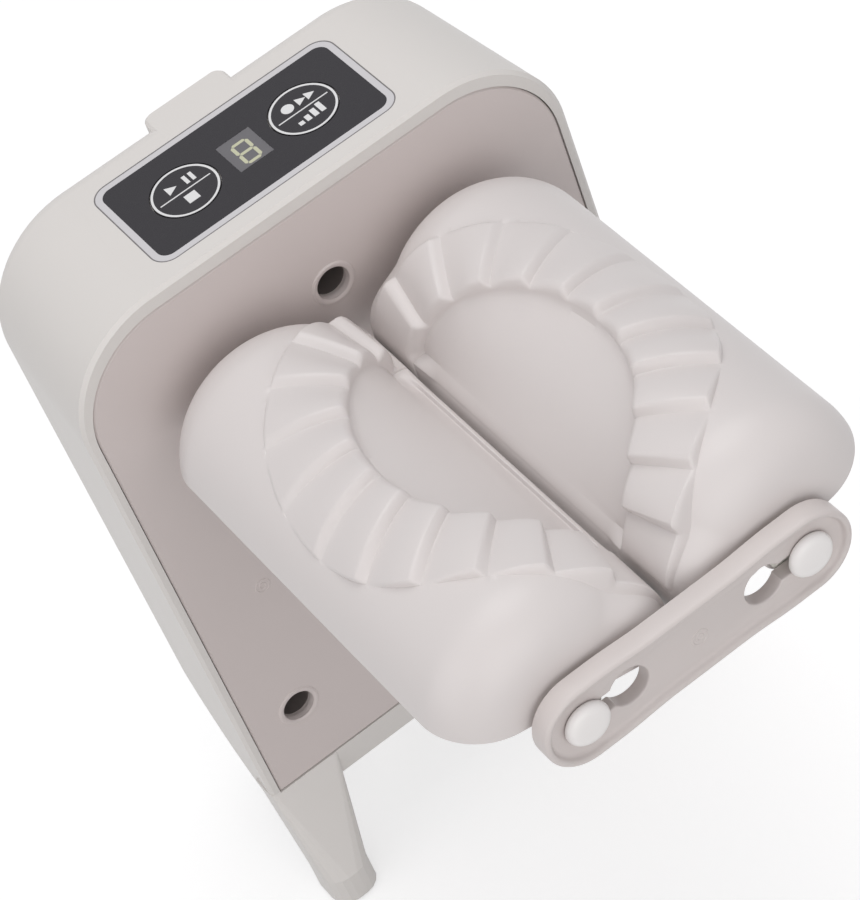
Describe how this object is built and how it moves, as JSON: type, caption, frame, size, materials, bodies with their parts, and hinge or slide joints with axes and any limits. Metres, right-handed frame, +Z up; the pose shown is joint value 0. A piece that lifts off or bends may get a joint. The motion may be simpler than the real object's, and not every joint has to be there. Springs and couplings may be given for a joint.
{
  "type": "electric dumpling maker",
  "caption": "Arch-shaped housing on short legs with two counter-turning half-round moulding rollers, a front link bar and a film key panel with a display.",
  "frame": {"origin": "on the ground under the middle of the whole machine", "axes": "+Z up, -Y towards the user (the side the rollers stick out to), +X to the user's right when facing the panel"},
  "size_m": [0.1446, 0.1984, 0.214],
  "materials": {
    "body_white": "satin",
    "panel_white": "satin",
    "roller_white": "satin",
    "link_white": "satin",
    "film_black": "gloss",
    "border_silver": "satin",
    "window_smoke": "gloss",
    "display_dark": "matt",
    "board_green": "satin",
    "steel": "satin",
    "bronze": "satin",
    "acetal": "satin",
    "seal_grey": "matt",
    "pad_rubber": "matt",
    "dark_plastic": "matt",
    "cell_wrap": "satin",
    "nickel": "satin"
  },
  "bodies": {
    "machine": {"housing_shell": "body_white", "front_panel": "panel_white", "overlay_border": "border_silver", "overlay_film": "film_black", "display_window": "window_smoke", "display_module": "display_dark", "key_switches": "dark_plastic", "control_board": "board_green", "board_screws": "steel", "panel_screws": "steel", "left_bushing": "acetal", "right_bushing": "acetal", "shaft_seals": "seal_grey", "left_thrust_washer": "acetal", "right_thrust_washer": "acetal", "front_link": "link_white", "gear_plate": "steel", "rear_bushings": "bronze", "idler_axles": "steel", "plate_screws": "steel", "gearbox_screws": "steel", "gearbox_case": "dark_plastic", "motor_can": "nickel", "motor_terminals": "bronze", "battery_tray": "dark_plastic", "battery_cells": "cell_wrap", "battery_contacts": "nickel", "charge_port": "nickel", "charge_board": "board_green", "foot_pads": "pad_rubber"},
    "left_mould": {"left_roller": "roller_white", "left_drive_shaft": "steel", "left_shaft_clip": "steel", "left_gear": "acetal", "left_pivot_pin": "link_white"},
    "right_mould": {"right_roller": "roller_white", "right_drive_shaft": "steel", "right_shaft_clip": "steel", "right_gear": "acetal", "right_pivot_pin": "link_white"},
    "left_idler_wheel": {"left_idler": "acetal"},
    "right_idler_wheel": {"right_idler": "acetal"},
    "left_button": {"left_key": "film_black"},
    "right_button": {"right_key": "film_black"}
  },
  "joints": [
    {"name": "left_roller_turn", "type": "hinge", "parent": "machine", "child": "left_mould", "pos_m": [-0.0313, 0.0583, 0.1697], "axis": [0, 1, 0], "continuous": true},
    {"name": "right_roller_turn", "type": "hinge", "parent": "machine", "child": "right_mould", "pos_m": [0.0313, 0.0583, 0.1697], "axis": [0, 1, 0], "continuous": true},
    {"name": "left_idler_turn", "type": "hinge", "parent": "machine", "child": "left_idler_wheel", "pos_m": [-0.012, 0.0583, 0.15543], "axis": [0, 1, 0], "continuous": true},
    {"name": "right_idler_turn", "type": "hinge", "parent": "machine", "child": "right_idler_wheel", "pos_m": [0.012, 0.0583, 0.15543], "axis": [0, 1, 0], "continuous": true},
    {"name": "left_key_press", "type": "slide", "parent": "machine", "child": "left_button", "axis": [0, 0, -1], "range_m": [0, 0.0004], "stiffness_N_per_m": 1500, "springref_m": -0.0008},
    {"name": "right_key_press", "type": "slide", "parent": "machine", "child": "right_button", "axis": [0, 0, -1], "range_m": [0, 0.0004], "stiffness_N_per_m": 1500, "springref_m": -0.0008}
  ],
  "couplings": [
    {"joint": "right_roller_turn", "follows": "left_roller_turn", "ratio": -1},
    {"joint": "left_idler_turn", "follows": "left_roller_turn", "ratio": -1},
    {"joint": "right_idler_turn", "follows": "left_roller_turn", "ratio": 1}
  ]
}
